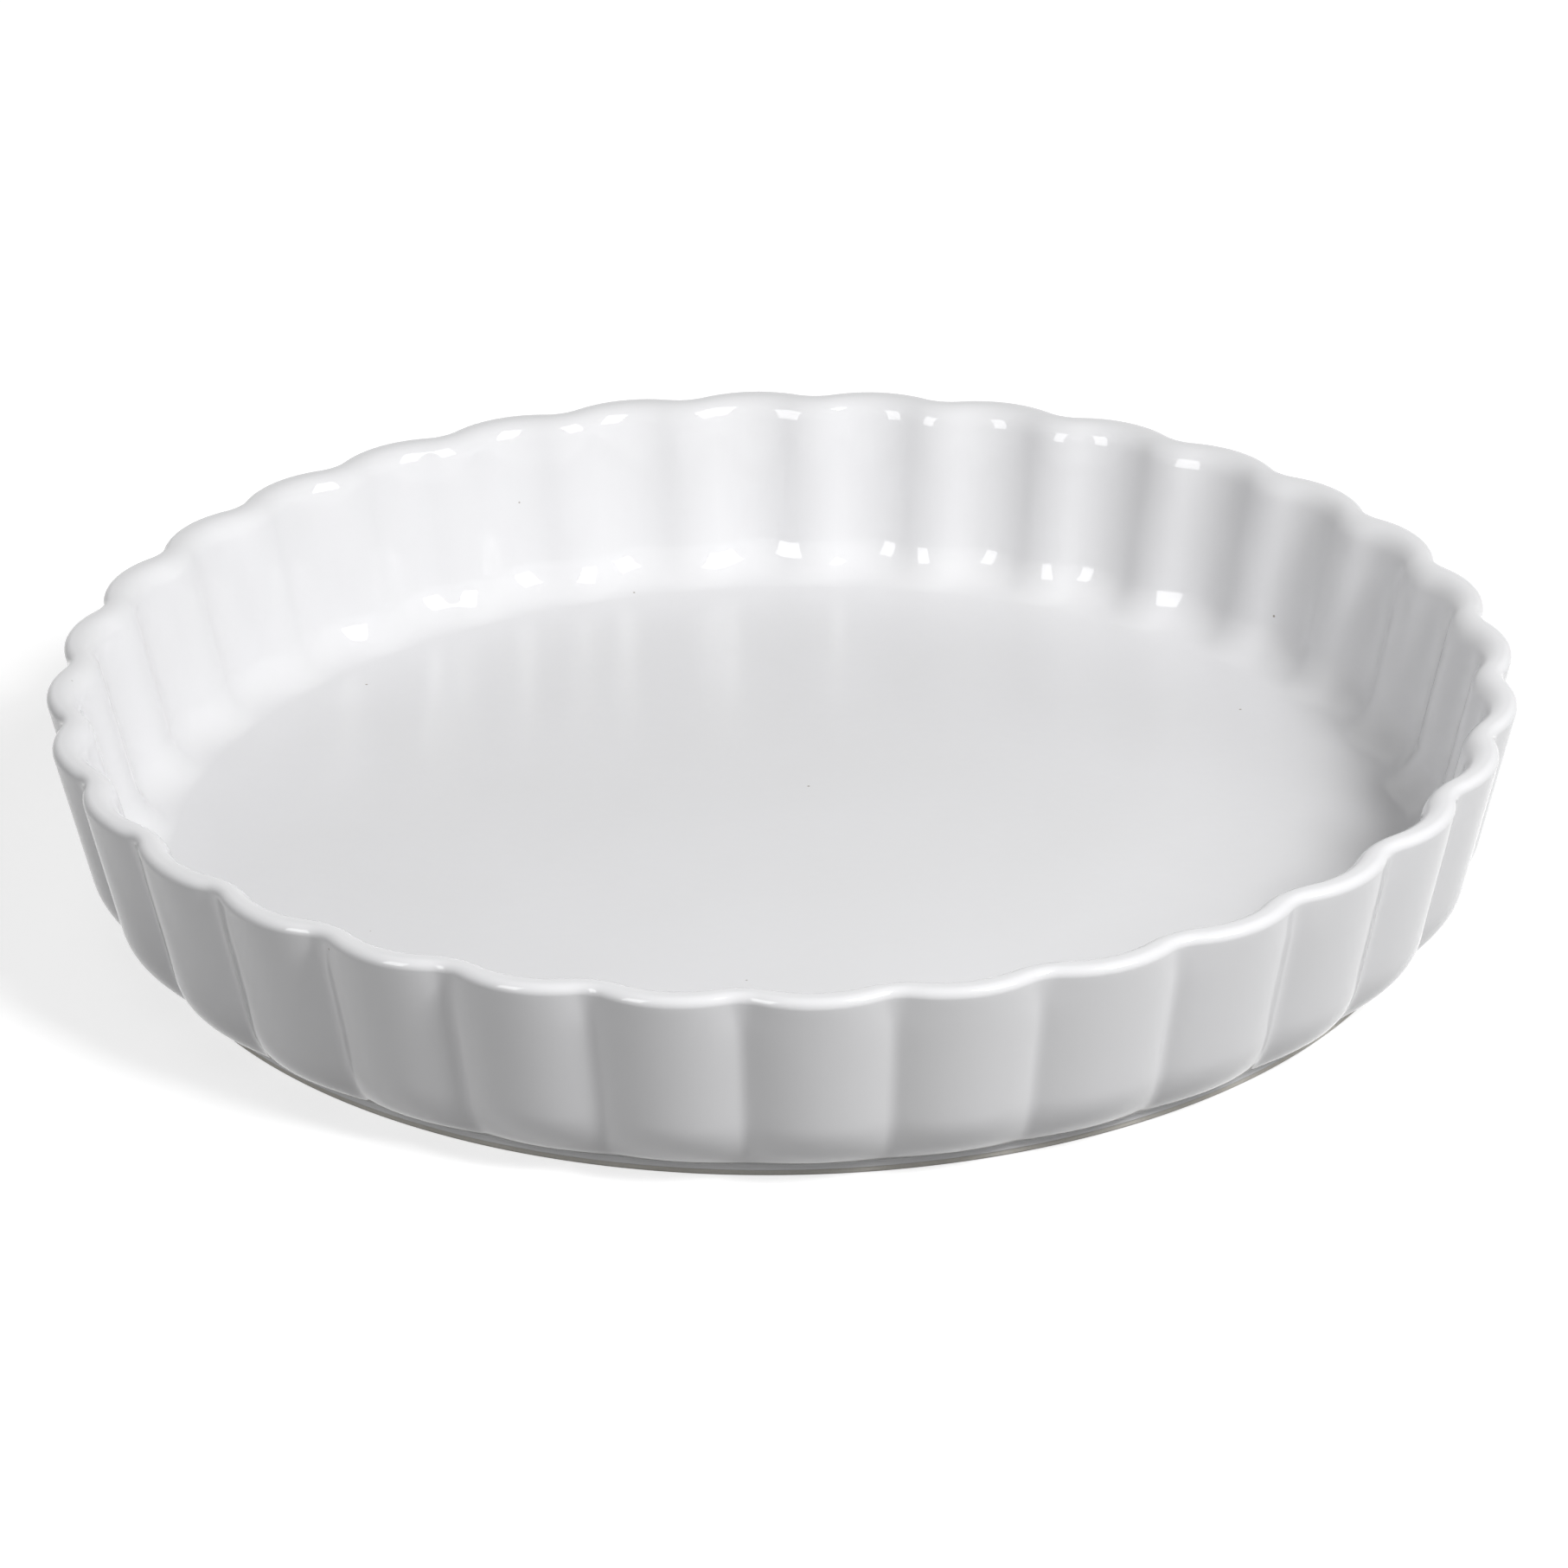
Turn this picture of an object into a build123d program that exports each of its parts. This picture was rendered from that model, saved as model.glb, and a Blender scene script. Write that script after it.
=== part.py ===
from build123d import *
import os
from math import asin, cos, degrees, hypot, pi, radians, sin, sqrt, tan

# A white porcelain quiche dish with a fluted wall, in millimetres. It stands on Z = 0 on its foot ring,
# with its axis on Z, and crests of its flutes lie on the X and Y axes.
#
# The dish is one fired piece. Its clay body, the glaze melted over it, and the patch of glaze inside
# the foot ring are the three pieces here. The bare foot ring parts the two glazes.

os.makedirs("parts", exist_ok=True)

# Overall sizes
crest_diameter = 280.0
dish_height = 43.5
wall_lean = 12.7
wall_thickness = 5.9
floor_thickness = 5.5
glaze_thickness = 0.3

# Flutes
flute_count = 32
flute_depth = 2.8
crease_width = 1.2
inner_flute_depth = 2.5
inner_ridge_width = 10.4

# Lip: a tight round outside, a narrow flat on top and a longer round towards the filling
lip_outer_radius = 1.6
lip_land = 0.6
lip_inner_height = 5.4

# Lower corner outside, and the curve from the wall into the floor inside
corner_radius = 18.0
floor_curve_radius = 9.8

# Foot ring. Its side stands inside the crests, and the fluted face meets it a little above the recess
# that it surrounds. The glaze is wiped off it just below the curve of that recess.
foot_inset = 16.7
foot_width = 5.6
foot_edge_radius = 0.7
recess_height = 2.0
recess_curve_radius = 0.6
foot_joint_rise = 0.6
glaze_edge_drop = 0.1

# Share of the inner flute depth that is left where the curve of the wall meets the flat floor
floor_fade_share = 0.1

# Sections that a loft takes along each corner and round each side of the lip
corner_steps = 5
lip_steps = 4

# Sizes that follow
lean = radians(wall_lean)
half_pitch = pi / flute_count
foot_radius = crest_diameter / 2 - foot_inset
foot_joint_height = recess_height + foot_joint_rise
foot_wipe_height = recess_height - recess_curve_radius - glaze_edge_drop
floor_height = recess_height + floor_thickness
lip_centre_radius = crest_diameter / 2 - lip_outer_radius
lip_centre_height = dish_height - lip_outer_radius
wall_top_radius = lip_centre_radius + lip_outer_radius * cos(lean)
wall_top_height = lip_centre_height - lip_outer_radius * sin(lean)


def polar(radius, angle):
    return (radius * cos(angle), radius * sin(angle))


def between(start, end, share):
    return start + (end - start) * share


# The outline of a fluted section, from its height, crest radius, flute depth and valley width: round
# lobes, with a narrower round in each valley, tangent where the two meet
def fluted_outline(level):
    height, crest_radius, depth, valley_width = level
    valley_turn = valley_width / (2 * crest_radius)
    meet_turn = half_pitch - valley_turn
    meet_radius = crest_radius - depth * meet_turn / half_pitch
    lobe_start = polar(meet_radius, -meet_turn)
    lobe_end = polar(meet_radius, meet_turn)
    next_start = polar(meet_radius, half_pitch + valley_turn)
    lobe = Edge.make_three_point_arc(lobe_start, (crest_radius, 0), lobe_end)
    valley = Edge.make_three_point_arc(lobe_end, polar(crest_radius - depth, half_pitch), next_start)
    edges = []
    for flute in range(flute_count):
        place = Location((0, 0, height), (0, 0, degrees(2 * half_pitch * flute)))
        edges += [lobe.moved(place), valley.moved(place)]
    return Wire(edges)


# The side faces of a loft through fluted sections
def band(levels, ruled=False):
    with BuildPart() as form:
        loft([Face(fluted_outline(level)) for level in levels], ruled=ruled, clean=False)
    return form.faces().filter_by(GeomType.PLANE, reverse=True)


# A face of the dish is three stacks of levels: a round at the foot, the straight wall and a round at
# the lip
def skin(foot_round, lip_round):
    wall = [foot_round[-1], lip_round[0]]
    return [*band(foot_round), *band(wall, ruled=True), *band(lip_round)]


def flat(outer_level, *inner_levels):
    return Face(fluted_outline(outer_level), [fluted_outline(level) for level in inner_levels])


# The centre of the round between the leaning outer wall and the foot ring: one radius away from the
# wall's line, and one radius away from the place where it meets the ring
def corner_centre():
    line_radius = wall_top_radius - corner_radius * cos(lean) - foot_radius
    line_height = wall_top_height + corner_radius * sin(lean) - foot_joint_height
    along = line_radius * sin(lean) + line_height * cos(lean)
    reach = sqrt(along**2 - line_radius**2 - line_height**2 + corner_radius**2)
    slide = reach - along
    return (
        foot_radius + line_radius + slide * sin(lean),
        foot_joint_height + line_height + slide * cos(lean),
    )


# The outer face at a depth under the finished surface: its corner from the foot ring up to the wall,
# and its lip from the wall up to the flat on top
def outer_rounds(under):
    centre_radius, centre_height = corner_centre()
    radius = corner_radius - under
    joint_turn = asin((foot_radius - under - centre_radius) / radius)
    corner = []
    for step in range(corner_steps + 1):
        share = step / corner_steps
        turn = between(joint_turn, pi / 2 - lean, share)
        height = centre_height - radius * cos(turn)
        crest_radius = centre_radius + radius * sin(turn)
        corner.append((height, crest_radius, flute_depth * sin(share * pi / 2), crease_width))
    lip = []
    for step in range(lip_steps + 1):
        turn = (pi / 2 + lean) * (1 - step / lip_steps)
        height = lip_centre_height + (lip_outer_radius - under) * cos(turn)
        crest_radius = lip_centre_radius + (lip_outer_radius - under) * sin(turn)
        valley_width = crease_width + lip_outer_radius * (1 - sin(min(turn, pi / 2)))
        lip.append((height, crest_radius, flute_depth, valley_width))
    return corner, lip


# The inner face at a depth under the finished surface: its curve from the floor up to the wall, and
# its lip, a quarter of an ellipse as wide as the wall's thickness leaves it
def inner_rounds(under):
    wall_radius = wall_top_radius - wall_thickness * cos(lean)
    wall_height = wall_top_height + wall_thickness * sin(lean)
    radius = floor_curve_radius + under
    centre_height = floor_height + floor_curve_radius
    tangent_height = centre_height - floor_curve_radius * sin(lean)
    tangent_radius = wall_radius - (wall_height - tangent_height) * tan(lean)
    centre_radius = tangent_radius - floor_curve_radius * cos(lean)
    curve = []
    for step in range(corner_steps + 1):
        share = step / corner_steps
        turn = (pi / 2 - lean) * share
        height = centre_height - radius * cos(turn)
        crest_radius = centre_radius + radius * sin(turn)
        depth = inner_flute_depth * between(1, floor_fade_share, (1 - share) ** 3)
        curve.append((height, crest_radius, depth, inner_ridge_width))

    lip_radius = lip_centre_radius - lip_land
    lip_height = dish_height - lip_inner_height
    gap = (lip_radius - wall_radius) * cos(lean) - (lip_height - wall_height) * sin(lean)
    lip_width = sqrt(gap**2 - (lip_inner_height * sin(lean)) ** 2) / cos(lean)
    lip = []
    for step in range(lip_steps + 1):
        turn = (pi / 2 - lean) * (1 - step / lip_steps)
        stretch = hypot(lip_width * sin(turn), lip_inner_height * cos(turn))
        crest_radius = lip_radius - lip_width**2 * sin(turn) / stretch + under * sin(turn)
        height = lip_height + lip_inner_height**2 * cos(turn) / stretch - under * cos(turn)
        lip.append((height, crest_radius, inner_flute_depth, inner_ridge_width))
    return curve, lip


# Levels of the finished glazed surface, and of the clay surface under it
glazed_corner, glazed_lip = outer_rounds(0)
glazed_curve, glazed_inner_lip = inner_rounds(0)
clay_corner, clay_lip = outer_rounds(glaze_thickness)
clay_curve, clay_inner_lip = inner_rounds(glaze_thickness)

# Sizes of the foot under its glaze
clay_foot_radius = foot_radius - glaze_thickness
clay_joint_height = clay_corner[0][0]
recess_radius = foot_radius - foot_width
clay_recess_radius = recess_radius + glaze_thickness
clay_recess_height = recess_height + glaze_thickness

# Porcelain body: the fired clay under the glaze, with the bare foot ring that the dish stands on
clay_faces = [
    *skin(clay_corner, clay_lip),
    *skin(clay_curve, clay_inner_lip),
    flat(clay_lip[-1], clay_inner_lip[-1]),
    flat(clay_curve[0]),
]
with BuildPart() as porcelain_body:
    add(Solid(Shell([*clay_faces, flat(clay_corner[0])])))
    with BuildSketch(Plane.XY):
        Circle(clay_foot_radius)
    extrude(amount=clay_joint_height)
    with BuildSketch(Plane.XY):
        Circle(clay_recess_radius)
    extrude(amount=clay_recess_height, mode=Mode.SUBTRACT)
    foot_edges = porcelain_body.edges().filter_by(GeomType.CIRCLE).group_by(Axis.Z)
    fillet(foot_edges[0], foot_edge_radius)
    recess_face = porcelain_body.faces().filter_by_position(Axis.Z, clay_recess_height, clay_recess_height)
    fillet(recess_face.edges(), recess_curve_radius + glaze_thickness)

# Glaze coat: one layer from the wiped edge on the outer side of the foot, up the fluted wall, over the
# lip and down to the floor. Its under side is the clay surface.
wiped_edge = (foot_wipe_height, foot_radius, 0, crease_width)
clay_wiped_edge = (foot_wipe_height, clay_foot_radius, 0, crease_width)
with BuildPart() as glaze_coat:
    add(
        Solid(
            Shell(
                [
                    *band([wiped_edge, glazed_corner[0]], ruled=True),
                    *skin(glazed_corner, glazed_lip),
                    flat(glazed_lip[-1], glazed_inner_lip[-1]),
                    *skin(glazed_curve, glazed_inner_lip),
                    flat(glazed_curve[0]),
                    *clay_faces,
                    *band([clay_wiped_edge, clay_corner[0]], ruled=True),
                    flat(wiped_edge, clay_wiped_edge),
                ]
            )
        )
    )

# Underside glaze: the patch in the recess inside the foot ring
with BuildPart() as underside_glaze:
    with BuildSketch(Plane.XY.offset(foot_wipe_height)):
        Circle(clay_recess_radius)
    extrude(amount=clay_recess_height - foot_wipe_height)
    fillet(underside_glaze.edges().group_by(Axis.Z)[-1], recess_curve_radius + glaze_thickness)
    with BuildSketch(Plane.XY.offset(foot_wipe_height)):
        Circle(recess_radius)
    extrude(amount=recess_height - foot_wipe_height, mode=Mode.SUBTRACT)
    under_face = underside_glaze.faces().filter_by_position(Axis.Z, recess_height, recess_height)
    fillet(under_face.edges(), recess_curve_radius)

porcelain_body.part.label = "porcelain_body"
glaze_coat.part.label = "glaze_coat"
underside_glaze.part.label = "underside_glaze"
export_step(porcelain_body.part, "parts/porcelain_body.step")
export_step(glaze_coat.part, "parts/glaze_coat.step")
export_step(underside_glaze.part, "parts/underside_glaze.step")
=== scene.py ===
import math
import random

import bmesh
import bpy
from mathutils import Matrix, Vector


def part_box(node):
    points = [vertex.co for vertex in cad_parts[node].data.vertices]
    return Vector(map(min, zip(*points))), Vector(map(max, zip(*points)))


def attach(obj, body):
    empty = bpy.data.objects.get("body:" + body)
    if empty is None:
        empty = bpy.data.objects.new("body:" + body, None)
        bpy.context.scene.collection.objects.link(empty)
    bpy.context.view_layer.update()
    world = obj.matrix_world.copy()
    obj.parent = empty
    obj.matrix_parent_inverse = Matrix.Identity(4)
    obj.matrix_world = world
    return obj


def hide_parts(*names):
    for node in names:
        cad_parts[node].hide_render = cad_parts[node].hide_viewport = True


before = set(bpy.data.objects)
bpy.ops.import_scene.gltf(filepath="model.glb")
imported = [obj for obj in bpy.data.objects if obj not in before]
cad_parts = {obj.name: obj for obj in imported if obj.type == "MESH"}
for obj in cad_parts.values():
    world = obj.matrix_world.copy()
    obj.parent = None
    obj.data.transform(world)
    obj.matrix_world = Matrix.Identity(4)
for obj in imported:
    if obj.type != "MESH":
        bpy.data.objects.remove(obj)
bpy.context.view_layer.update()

mm = 0.001
fullTurn = 2 * math.pi

# The dish, in millimetres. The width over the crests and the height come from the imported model.
dish = {
    "crestRadius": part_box("glaze_coat")[1].x / mm,
    "height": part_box("glaze_coat")[1].z / mm,
    "wallLean": math.radians(12.7),
    "wallThickness": 5.9,
    "glazeThickness": 0.3,
    "fluteCount": 32,
    "fluteDepth": 2.8,
    "creaseWidth": 1.2,
    "glazedCreaseWidth": 2.6,   # the glaze softens the creases
    "flaredCreaseWidth": 5.5,   # a crease opens just under the lip, and further over it
    "lipCreaseWidth": 9.0,
    "flareHeight": 6.0,         # of the stretch under the lip along which a crease opens
    "innerFluteDepth": 2.5,
    "innerRidgeWidth": 10.4,
    "ridgeShares": (0.93, 1.03),  # the least and the most of that depth, as the ridges are uneven
    "ridgeSeed": 7,
    "floorFadeShare": 0.1,      # of that depth, where the wall has curved into the floor
    "floorFadePower": 3,
    "lipOuterRadius": 1.6,
    "lipLand": 0.6,
    "lipInnerHeight": 5.4,
    "cornerRadius": 18.0,
    "floorCurveRadius": 9.8,
    "floorHeight": 7.5,
    "footRadius": 123.3,
    "footWidth": 5.6,
    "footEdgeRadius": 0.7,
    "footJointHeight": 2.6,
    "footWipeHeight": 1.3,
    "glazeEdgeTurn": -60,       # degrees from level, where the round of the wiped edge starts
    "recessHeight": 2.0,
    "recessCurveRadius": 0.6,
}

# How finely the meshes follow those shapes: steps round each flute, and stations along each stretch
fineness = {
    "fluteSteps": 24,
    "plainFluteSteps": 6,       # for the piece that has no flutes
    "creasePull": 0.62,         # share by which the steps crowd towards a crease
    "cornerStations": 14,
    "wallStations": 6,
    "lipStations": 12,
    "floorCurveStations": 14,
    "floorRings": (0.86, 0.66, 0.4, 0.18),
    "hiddenStations": 6,
    "hiddenWallStations": 2,
    "edgeStations": 5,
    "mergeGap": 0.0005,         # millimetres, as are the next two
    "straightRise": 0.001,      # an arc that rises less than this is drawn as a straight line
    "poleRadius": 1.0,          # points nearer the axis than this are the poles
}


def ramp(start, end, count):
    return [start + (end - start) * step / count for step in range(count + 1)]


# A station of a profile: where a crest's section passes, how deep the flutes are there, how wide
# their creases, and whether their depth is uneven (1) or even (0)
def station(radius, height, depth=0.0, creaseWidth=0.0, uneven=0.0):
    return {
        "radius": radius, "height": height,
        "depth": depth, "creaseWidth": creaseWidth, "uneven": uneven}


def straightStations(start, end, count):
    keys = start.keys()
    return [
        {key: start[key] + (end[key] - start[key]) * step / count for key in keys}
        for step in range(1, count)
    ]


# The centre of the lip's outer round, and the top of the straight outer wall
def wallLine():
    lean = dish["wallLean"]
    lipCentreRadius = dish["crestRadius"] - dish["lipOuterRadius"]
    lipCentreHeight = dish["height"] - dish["lipOuterRadius"]
    topRadius = lipCentreRadius + dish["lipOuterRadius"] * math.cos(lean)
    topHeight = lipCentreHeight - dish["lipOuterRadius"] * math.sin(lean)
    return lipCentreRadius, lipCentreHeight, topRadius, topHeight


# From the foot joint up the outer wall and over the lip, at a depth under the finished surface
def outerStations(under, creaseWidth, cornerCount, wallCount, lipCount):
    lean = dish["wallLean"]
    lipCentreRadius, lipCentreHeight, topRadius, topHeight = wallLine()

    # The corner's centre is one radius away from the wall's line and from the foot joint
    size = dish["cornerRadius"]
    besideRadius = topRadius - size * math.cos(lean) - dish["footRadius"]
    besideHeight = topHeight + size * math.sin(lean) - dish["footJointHeight"]
    along = besideRadius * math.sin(lean) + besideHeight * math.cos(lean)
    slide = math.sqrt(along ** 2 - besideRadius ** 2 - besideHeight ** 2 + size ** 2) - along
    centreRadius = dish["footRadius"] + besideRadius + slide * math.sin(lean)
    centreHeight = dish["footJointHeight"] + besideHeight + slide * math.cos(lean)
    jointTurn = math.asin((dish["footRadius"] - under - centreRadius) / (size - under))
    wallTurn = math.pi / 2 - lean

    corner = []
    for turn in ramp(jointTurn, wallTurn, cornerCount):
        share = (turn - jointTurn) / (wallTurn - jointTurn)
        corner.append(station(
            centreRadius + (size - under) * math.sin(turn),
            centreHeight - (size - under) * math.cos(turn),
            dish["fluteDepth"] * math.sin(share * math.pi / 2),
            creaseWidth))
    lip = []
    size = dish["lipOuterRadius"]
    opening = dish["lipCreaseWidth"] - dish["flaredCreaseWidth"]
    for turn in ramp(math.pi / 2 + lean, 0, lipCount):
        lip.append(station(
            lipCentreRadius + (size - under) * math.sin(turn),
            lipCentreHeight + (size - under) * math.cos(turn),
            dish["fluteDepth"],
            dish["flaredCreaseWidth"] + opening * (1 - math.sin(min(turn, math.pi / 2)))))
    flare = station(
        lip[0]["radius"] - dish["flareHeight"] * math.tan(lean),
        lip[0]["height"] - dish["flareHeight"],
        dish["fluteDepth"],
        creaseWidth)
    wall = [
        *straightStations(corner[-1], flare, wallCount),
        flare,
        *straightStations(flare, lip[0], wallCount),
    ]
    return corner + wall + lip


# From the flat on top of the lip down the inner wall and along the curve into the floor. The lip is
# a quarter of an ellipse, as wide as the wall's thickness leaves it.
def innerStations(under, lipCount, wallCount, curveCount):
    lean = dish["wallLean"]
    lipCentreRadius, lipCentreHeight, topRadius, topHeight = wallLine()
    wallRadius = topRadius - dish["wallThickness"] * math.cos(lean)
    wallHeight = topHeight + dish["wallThickness"] * math.sin(lean)
    lipRadius = lipCentreRadius - dish["lipLand"]
    lipHeight = dish["height"] - dish["lipInnerHeight"]
    gap = (lipRadius - wallRadius) * math.cos(lean) - (lipHeight - wallHeight) * math.sin(lean)
    tall = dish["lipInnerHeight"]
    wide = math.sqrt(gap ** 2 - (tall * math.sin(lean)) ** 2) / math.cos(lean)
    wallTurn = math.pi / 2 - lean

    lip = []
    for turn in ramp(0, wallTurn, lipCount):
        stretch = math.hypot(wide * math.sin(turn), tall * math.cos(turn))
        lip.append(station(
            lipRadius - wide ** 2 * math.sin(turn) / stretch + under * math.sin(turn),
            lipHeight + tall ** 2 * math.cos(turn) / stretch - under * math.cos(turn),
            dish["innerFluteDepth"],
            dish["innerRidgeWidth"],
            uneven=1.0))

    size = dish["floorCurveRadius"]
    centreHeight = dish["floorHeight"] + size
    tangentHeight = centreHeight - size * math.sin(lean)
    tangentRadius = wallRadius - (wallHeight - tangentHeight) * math.tan(lean)
    centreRadius = tangentRadius - size * math.cos(lean)
    curve = []
    for turn in ramp(wallTurn, 0, curveCount):
        faded = (1 - turn / wallTurn) ** dish["floorFadePower"]
        curve.append(station(
            centreRadius + (size + under) * math.sin(turn),
            centreHeight - (size + under) * math.cos(turn),
            dish["innerFluteDepth"] * (1 - (1 - dish["floorFadeShare"]) * faded),
            dish["innerRidgeWidth"],
            uneven=1.0))
    return lip + straightStations(lip[-1], curve[0], wallCount) + curve


# The distance from the axis to an arc, at a turn from the arc's middle. The arc's middle lies at
# the radius middle, and its ends at the radius end and endTurn to each side.
def arcRadius(middle, end, endTurn, turn):
    rise = end * math.cos(endTurn) - middle
    if abs(rise) < fineness["straightRise"]:
        return middle / math.cos(turn)
    centre = (end ** 2 - middle ** 2) / (2 * rise)
    side = -1 if centre > middle else 1
    reach = math.sqrt((centre - middle) ** 2 - (centre * math.sin(turn)) ** 2)
    return centre * math.cos(turn) + side * reach


# The radius of a fluted section at a turn from the nearest crest: a round lobe, and a narrower
# round in the crease that meets it
def flutedRadius(crest, depth, creaseWidth, turn):
    halfPitch = math.pi / dish["fluteCount"]
    creaseTurn = creaseWidth / (2 * crest)
    meetTurn = halfPitch - creaseTurn
    meetRadius = crest - depth * meetTurn / halfPitch
    if abs(turn) < meetTurn:
        return arcRadius(crest, meetRadius, meetTurn, turn)
    return arcRadius(crest - depth, meetRadius, creaseTurn, halfPitch - abs(turn))


# A profile is spun over one flute and copied round the axis. Then each point is drawn in to its
# flute. A profile that starts off the axis is closed.
def spinDish(name, stations, fluteSteps):
    pitch = fullTurn / dish["fluteCount"]
    chance = random.Random(dish["ridgeSeed"])
    ridges = [chance.uniform(*dish["ridgeShares"]) for flute in range(dish["fluteCount"])]
    shape = bmesh.new()
    depthLayer = shape.verts.layers.float.new("depth")
    widthLayer = shape.verts.layers.float.new("creaseWidth")
    unevenLayer = shape.verts.layers.float.new("uneven")
    profile = []
    for place in stations:
        point = shape.verts.new((place["radius"], 0, place["height"]))
        point[depthLayer] = place["depth"]
        point[widthLayer] = place["creaseWidth"]
        point[unevenLayer] = place["uneven"]
        profile.append(point)
    edges = [shape.edges.new(pair) for pair in zip(profile, profile[1:])]
    if stations[0]["radius"] > 0:
        edges.append(shape.edges.new((profile[-1], profile[0])))
    bmesh.ops.spin(
        shape, geom=profile + edges, cent=(0, 0, 0), axis=(0, 0, 1), angle=pitch,
        steps=fluteSteps)
    bmesh.ops.spin(
        shape, geom=[*shape.verts, *shape.edges, *shape.faces], cent=(0, 0, 0), axis=(0, 0, 1),
        angle=fullTurn - pitch, steps=dish["fluteCount"] - 1, use_duplicate=True)
    bmesh.ops.remove_doubles(shape, verts=shape.verts, dist=fineness["mergeGap"])

    for point in shape.verts:
        radius = math.hypot(point.co.x, point.co.y)
        if radius < fineness["poleRadius"]:
            continue
        angle = math.atan2(point.co.y, point.co.x)
        flute = round(angle / pitch)
        fromCrest = angle - flute * pitch
        pull = fineness["creasePull"] * pitch / fullTurn
        crowded = fromCrest + pull * math.sin(fullTurn * fromCrest / pitch)
        ridge = ridges[math.floor(angle / pitch) % dish["fluteCount"]]
        depth = point[depthLayer] * (1 + point[unevenLayer] * (ridge - 1))
        if depth > 0:
            radius = flutedRadius(radius, depth, point[widthLayer], crowded)
        point.co.x = radius * math.cos(flute * pitch + crowded)
        point.co.y = radius * math.sin(flute * pitch + crowded)
    bmesh.ops.scale(shape, vec=(mm, mm, mm), verts=shape.verts)
    bmesh.ops.recalc_face_normals(shape, faces=shape.faces)
    for face in shape.faces:
        face.smooth = True
    mesh = bpy.data.meshes.new(name)
    shape.to_mesh(mesh)
    shape.free()
    piece = bpy.data.objects.new(name, mesh)
    bpy.context.collection.objects.link(piece)
    return piece


# A round in a profile, from a start turn to an end turn in degrees: 0 points outward, 90 up
def roundStations(radius, height, size, start, end):
    turns = ramp(math.radians(start), math.radians(end), fineness["edgeStations"])
    return [
        station(radius + size * math.cos(turn), height + size * math.sin(turn)) for turn in turns]


# Rings from the edge of a flat to its middle
def flatStations(radius, height):
    rings = [station(radius * share, height) for share in fineness["floorRings"]]
    return rings + [station(0, height)]


# The clay under the glaze, which the glaze coat and the body share: from the foot joint up and over
# the lip, and down to the floor
def clayStations():
    thick = dish["glazeThickness"]
    steps = fineness["hiddenStations"]
    wallSteps = fineness["hiddenWallStations"]
    outside = outerStations(thick, dish["creaseWidth"], steps, wallSteps, steps)
    return outside + innerStations(thick, steps, wallSteps, steps)


def makeGlazeCoat():
    steps = fineness
    thick = dish["glazeThickness"]
    foot = dish["footRadius"]
    wipe = dish["footWipeHeight"]
    outside = outerStations(
        0, dish["glazedCreaseWidth"],
        steps["cornerStations"], steps["wallStations"], steps["lipStations"])
    inside = innerStations(
        0, steps["lipStations"], steps["wallStations"], steps["floorCurveStations"])
    return spinDish("glazeCoat", [
        station(0, dish["floorHeight"] - thick),
        *reversed(clayStations()),
        station(foot - thick, wipe),
        *roundStations(foot - thick, wipe + thick, thick, dish["glazeEdgeTurn"], 0),
        *outside,
        *inside,
        *flatStations(inside[-1]["radius"], dish["floorHeight"]),
    ], steps["fluteSteps"])


def makeBody():
    thick = dish["glazeThickness"]
    foot = dish["footRadius"] - thick
    recess = dish["footRadius"] - dish["footWidth"] + thick
    ceiling = dish["recessHeight"] + thick
    edge = dish["footEdgeRadius"]
    curve = dish["recessCurveRadius"] + thick
    return spinDish("biscuitBody", [
        station(0, dish["floorHeight"] - thick),
        *reversed(clayStations()),
        *roundStations(foot - edge, edge, edge, 0, -90),
        *roundStations(recess + edge, edge, edge, 270, 180),
        *roundStations(recess - curve, ceiling - curve, curve, 0, 90),
        *flatStations(recess - curve, ceiling),
    ], fineness["fluteSteps"])


def makeUndersideGlaze():
    thick = dish["glazeThickness"]
    recess = dish["footRadius"] - dish["footWidth"]
    ceiling = dish["recessHeight"]
    curve = dish["recessCurveRadius"]
    wipe = dish["footWipeHeight"]
    return spinDish("undersideGlaze", [
        station(0, ceiling + thick),
        *reversed(flatStations(recess - curve, ceiling + thick)[:-1]),
        *roundStations(recess - curve, ceiling - curve, curve + thick, 90, 0),
        *roundStations(recess + thick, wipe + thick, thick, 270, 180),
        *roundStations(recess - curve, ceiling - curve, curve, 0, 90),
        *flatStations(recess - curve, ceiling),
    ], fineness["plainFluteSteps"])


# Colours are written as sRGB hex values, and this turns them to the linear ones that shaders take
def linear(hexColour):
    channels = [int(hexColour[place:place + 2], 16) / 255 for place in (1, 3, 5)]
    return tuple(
        c / 12.92 if c <= 0.04045 else ((c + 0.055) / 1.055) ** 2.4 for c in channels) + (1,)


def newMaterial(name):
    material = bpy.data.materials.new(name)
    material.use_nodes = True
    material.node_tree.nodes.clear()
    return material


# Adds a node, with settings as keywords, and inputs as values or as links from other nodes' outputs
def addNode(material, kind, inputs=None, **settings):
    node = material.node_tree.nodes.new(kind)
    for name, value in settings.items():
        setattr(node, name, value)
    for name, value in (inputs or {}).items():
        if isinstance(value, bpy.types.NodeSocket):
            material.node_tree.links.new(value, node.inputs[name])
        else:
            node.inputs[name].default_value = value
    return node


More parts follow.
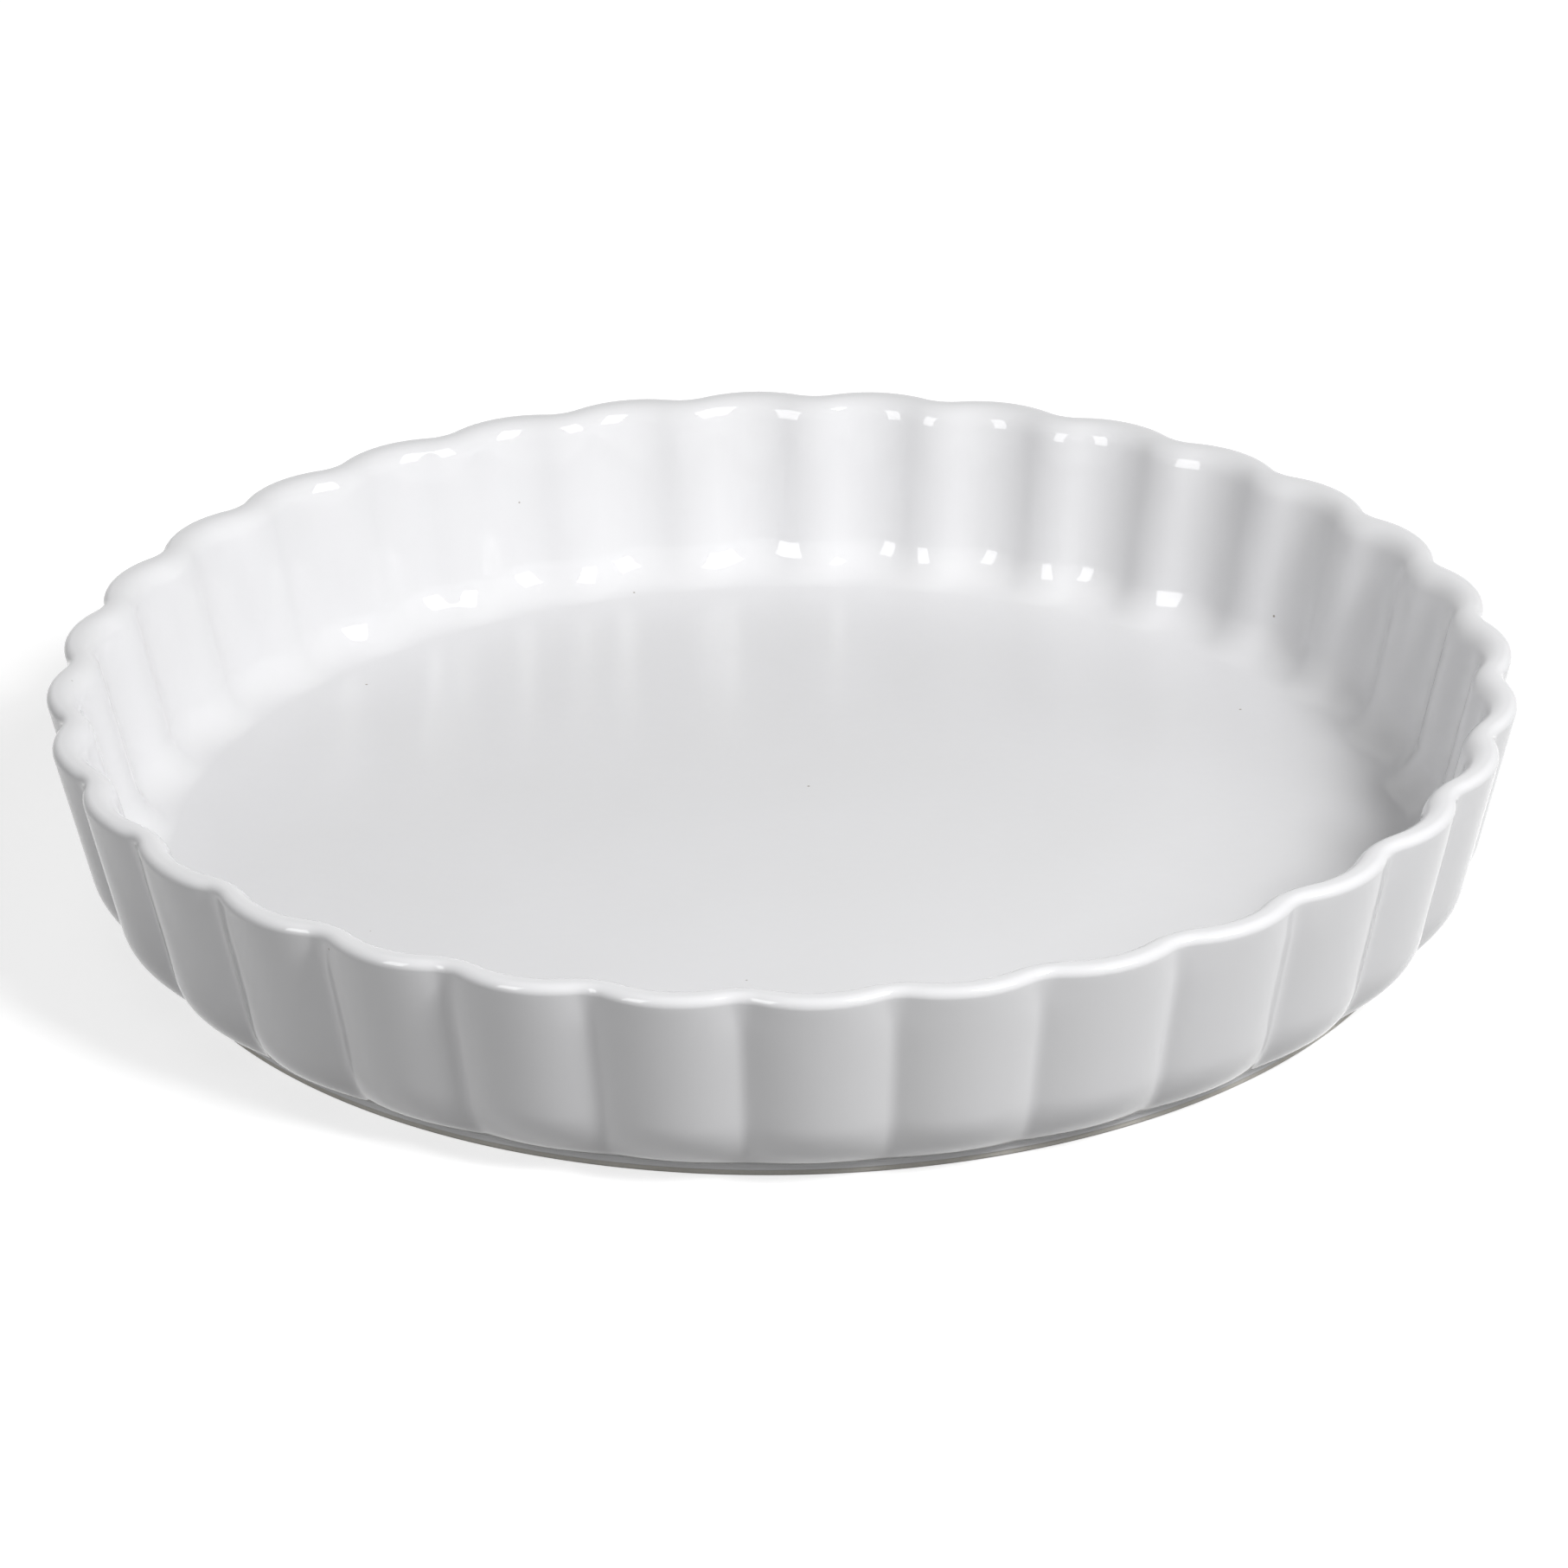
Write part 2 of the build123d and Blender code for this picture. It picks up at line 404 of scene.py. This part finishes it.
# Lengths in millimetres
porcelainGlaze = {
    "colour": "#e2e2e4",
    "shade": "#dededf",
    "speck": "#9a948c",
    "speckSize": 15.0,          # from one speck to the next
    "speckShare": 0.022,        # of that, the radius of a speck
    "roughness": 0.045,
    "wornRoughness": 0.26,      # the flat floor inside is duller than the walls
    "wornRadius": 112.0,        # as far as this from the axis, and glossy again past the next
    "glossyRadius": 124.0,
    "wornFlatness": 40.0,       # a height off the floor counts this many times as much
    "ior": 1.55,
    "cloudSize": 35.0,
    "waveSize": 12.0,
    "waveHeight": 0.02,
    "peelSize": 2.0,
    "peelHeight": 0.014,
    "peelStretch": 0.14,        # the peel runs up and down the walls in streaks
}


# Clear glaze on white porcelain: a smooth glass skin over a white body. The eye gets sharp
# highlights that waver a little on the walls, a floor too dull to mirror the wall, faint clouds in
# the white, and here and there a grey speck.
def makeGlaze():
    look = porcelainGlaze
    material = newMaterial("glazed white porcelain")
    place = addNode(material, "ShaderNodeTexCoord").outputs["Object"]
    clouds = addNode(material, "ShaderNodeTexNoise", {
        "Vector": place, "Scale": 1 / (look["cloudSize"] * mm), "Detail": 2.0})
    tint = addNode(material, "ShaderNodeMix", {
        "Factor": clouds.outputs["Fac"],
        "A": linear(look["colour"]), "B": linear(look["shade"])}, data_type="RGBA")
    cells = addNode(material, "ShaderNodeTexVoronoi", {
        "Vector": place, "Scale": 1 / (look["speckSize"] * mm)})
    spot = addNode(material, "ShaderNodeMapRange", {
        "Value": cells.outputs["Distance"],
        "From Min": look["speckShare"] / 2, "From Max": look["speckShare"],
        "To Min": 1.0, "To Max": 0.0})
    specked = addNode(material, "ShaderNodeMix", {
        "Factor": spot.outputs["Result"],
        "A": tint.outputs["Result"], "B": linear(look["speck"])}, data_type="RGBA")
    wave = addNode(material, "ShaderNodeTexNoise", {
        "Vector": place, "Scale": 1 / (look["waveSize"] * mm), "Detail": 0.0})
    waved = addNode(material, "ShaderNodeBump", {
        "Height": wave.outputs["Fac"], "Distance": look["waveHeight"] * mm})
    drawn = addNode(material, "ShaderNodeVectorMath", {
        0: place, 1: (1, 1, look["peelStretch"])}, operation="MULTIPLY")
    peel = addNode(material, "ShaderNodeTexNoise", {
        "Vector": drawn.outputs["Vector"], "Scale": 1 / (look["peelSize"] * mm), "Detail": 0.0})
    peeled = addNode(material, "ShaderNodeBump", {
        "Height": peel.outputs["Fac"], "Distance": look["peelHeight"] * mm,
        "Normal": waved.outputs["Normal"]})
    flatness = look["wornFlatness"]
    aboveFloor = addNode(material, "ShaderNodeVectorMath", {
        0: place, 1: (1, 1, flatness), 2: (0, 0, -flatness * dish["floorHeight"] * mm)},
        operation="MULTIPLY_ADD")
    fromFloor = addNode(material, "ShaderNodeVectorMath", {
        0: aboveFloor.outputs["Vector"]}, operation="LENGTH")
    worn = addNode(material, "ShaderNodeMapRange", {
        "Value": fromFloor.outputs["Value"],
        "From Min": look["wornRadius"] * mm, "From Max": look["glossyRadius"] * mm,
        "To Min": look["wornRoughness"], "To Max": look["roughness"]})
    surface = addNode(material, "ShaderNodeBsdfPrincipled", {
        "Base Color": specked.outputs["Result"], "Roughness": worn.outputs["Result"],
        "IOR": look["ior"], "Normal": peeled.outputs["Normal"]})
    addNode(material, "ShaderNodeOutputMaterial", {"Surface": surface.outputs["BSDF"]})
    return material


# Lengths in millimetres
biscuit = {
    "colour": "#dcd9d2",
    "shade": "#cfcbc2",
    "roughness": 0.85,
    "grainSize": 0.6,
    "grainHeight": 0.03,
}


# Bare fired porcelain on the foot: matt and a little darker than the glaze, with a fine sandy grain
def makeBiscuit():
    look = biscuit
    material = newMaterial("bare fired porcelain")
    place = addNode(material, "ShaderNodeTexCoord").outputs["Object"]
    grain = addNode(material, "ShaderNodeTexNoise", {
        "Vector": place, "Scale": 1 / (look["grainSize"] * mm), "Detail": 3.0})
    tint = addNode(material, "ShaderNodeMix", {
        "Factor": grain.outputs["Fac"],
        "A": linear(look["colour"]), "B": linear(look["shade"])}, data_type="RGBA")
    bump = addNode(material, "ShaderNodeBump", {
        "Height": grain.outputs["Fac"], "Distance": look["grainHeight"] * mm})
    surface = addNode(material, "ShaderNodeBsdfPrincipled", {
        "Base Color": tint.outputs["Result"], "Roughness": look["roughness"],
        "Normal": bump.outputs["Normal"]})
    addNode(material, "ShaderNodeOutputMaterial", {"Surface": surface.outputs["BSDF"]})
    return material


print("modelling the dish")
glaze = makeGlaze()
bare = makeBiscuit()
pieces = (
    (makeGlazeCoat(), "glaze_coat", "glaze", glaze),
    (makeBody(), "porcelain_body", "biscuit", bare),
    (makeUndersideGlaze(), "underside_glaze", "glaze", glaze),
)
for piece, nodeName, slotName, material in pieces:
    piece.data.materials.append(material)
    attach(piece, "root")
    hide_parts(nodeName)

# The camera, placed as the photograph's was: from the front, looking down on the dish
photo = {
    "side": 1813,               # pixels, as is the focal length
    "focalLength": 7784,
    "sensorWidth": 36.0,        # millimetres
    "pitch": math.radians(25.49),
    "roll": math.radians(-0.90),
    "turn": math.radians(-2.35),
    "place": (0.138, -1169.56, 532.49),  # millimetres from the middle of the rim, before the turn
}


def makeCamera():
    data = bpy.data.cameras.new("camera")
    data.sensor_width = photo["sensorWidth"]
    data.lens = photo["sensorWidth"] * photo["focalLength"] / photo["side"]
    camera = bpy.data.objects.new("camera", data)
    rim = Vector((0, 0, dish["height"] * mm))
    turned = Matrix.Rotation(photo["turn"], 4, "Z")
    place = turned @ Matrix.Translation(Vector(photo["place"]) * mm + rim)
    tilt = Matrix.Rotation(math.pi / 2 - photo["pitch"], 4, "X")
    camera.matrix_world = place @ (tilt @ Matrix.Rotation(photo["roll"], 4, "Z"))
    bpy.context.collection.objects.link(camera)
    bpy.context.scene.camera = camera


# Light from two tall soft boxes in front, one to each side. The right one is brighter, and has a
# hot part, nearer the middle of the picture, that stands a little in front of it. A wide low one
# behind fills the back, without a highlight, and the room adds a faint glow all round. Sizes are in
# metres and turns in degrees.
studio = {
    "floorSize": 12.0,
    "floorColour": "#c8c8c8",
    "floorGlowColour": "#ffffff",
    "floorGlow": 0.66,
    "floorBounceColour": "#7a7a7a",
    "backdropColour": "#ffffff",
    "backdropStrength": 1.0,
    "roomColour": "#ffffff",
    "roomStrength": 0.12,
    "boxes": (
        {"azimuth": -43, "elevation": 27, "distance": 1.5,
         "width": 0.42, "height": 0.92, "watts": 5.0},
        {"azimuth": 49, "elevation": 43.5, "distance": 1.5,
         "width": 0.60, "height": 0.88, "watts": 11.0},
        {"azimuth": 41.5, "elevation": 43.5, "distance": 1.48,
         "width": 0.30, "height": 0.40, "watts": 11.2},
        {"azimuth": 190, "elevation": 9, "distance": 1.6,
         "width": 1.3, "height": 0.45, "watts": 9.0},
    ),
}


def makeLight(name, box):
    data = bpy.data.lights.new(name, "AREA")
    data.shape = "RECTANGLE"
    data.size = box["width"]
    data.size_y = box["height"]
    data.energy = box["watts"]
    light = bpy.data.objects.new(name, data)
    azimuth = math.radians(box["azimuth"])
    elevation = math.radians(box["elevation"])
    away = Vector((
        math.sin(azimuth) * math.cos(elevation),
        -math.cos(azimuth) * math.cos(elevation),
        math.sin(elevation)))
    light.location = away * box["distance"]
    light.rotation_mode = "QUATERNION"
    light.rotation_quaternion = away.to_track_quat("Z", "Y")
    light.visible_glossy = math.cos(azimuth) > 0    # only a box in front makes highlights
    bpy.context.collection.objects.link(light)


# 1 for a ray from the camera, off a glossy piece or through a clear one, and 0 for a ray that only
# carries light from one dull surface to another
def seenDirectly(material):
    path = addNode(material, "ShaderNodeLightPath")
    either = addNode(material, "ShaderNodeMath", {
        0: path.outputs["Is Camera Ray"], 1: path.outputs["Is Glossy Ray"]},
        operation="MAXIMUM")
    direct = addNode(material, "ShaderNodeMath", {
        0: either.outputs[0], 1: path.outputs["Is Transmission Ray"]}, operation="MAXIMUM")
    return direct.outputs[0]


# The white backdrop and the pale floor show in the picture and in the glaze. The soft light on the
# dish comes from a dim room and off a darker floor instead, so that the lamps shape it.
def makeStudio():
    scene = bpy.context.scene
    scene.view_settings.view_transform = "Standard"
    world = bpy.data.worlds.new("studio")
    scene.world = world
    world.use_nodes = True
    world.node_tree.nodes.clear()
    room = addNode(world, "ShaderNodeBackground", {
        "Color": linear(studio["roomColour"]), "Strength": studio["roomStrength"]})
    backdrop = addNode(world, "ShaderNodeBackground", {
        "Color": linear(studio["backdropColour"]), "Strength": studio["backdropStrength"]})
    choice = addNode(world, "ShaderNodeMixShader", {
        "Fac": seenDirectly(world),
        1: room.outputs["Background"], 2: backdrop.outputs["Background"]})
    addNode(world, "ShaderNodeOutputWorld", {"Surface": choice.outputs["Shader"]})

    ground = bmesh.new()
    bmesh.ops.create_grid(ground, x_segments=1, y_segments=1, size=studio["floorSize"] / 2)
    mesh = bpy.data.meshes.new("floor")
    ground.to_mesh(mesh)
    ground.free()
    floor = bpy.data.objects.new("floor", mesh)
    bpy.context.collection.objects.link(floor)
    material = newMaterial("pale studio paper")
    paper = addNode(material, "ShaderNodeBsdfDiffuse", {"Color": linear(studio["floorColour"])})
    glow = addNode(material, "ShaderNodeEmission", {
        "Color": linear(studio["floorGlowColour"]), "Strength": studio["floorGlow"]})
    lit = addNode(material, "ShaderNodeAddShader", {
        0: paper.outputs["BSDF"], 1: glow.outputs["Emission"]})
    bounce = addNode(material, "ShaderNodeBsdfDiffuse", {
        "Color": linear(studio["floorBounceColour"])})
    choice = addNode(material, "ShaderNodeMixShader", {
        "Fac": seenDirectly(material), 1: bounce.outputs["BSDF"], 2: lit.outputs["Shader"]})
    addNode(material, "ShaderNodeOutputMaterial", {"Surface": choice.outputs["Shader"]})
    floor.data.materials.append(material)
    for number, box in enumerate(studio["boxes"]):
        makeLight(f"softBox{number}", box)


print("lighting the studio")
makeCamera()
makeStudio()
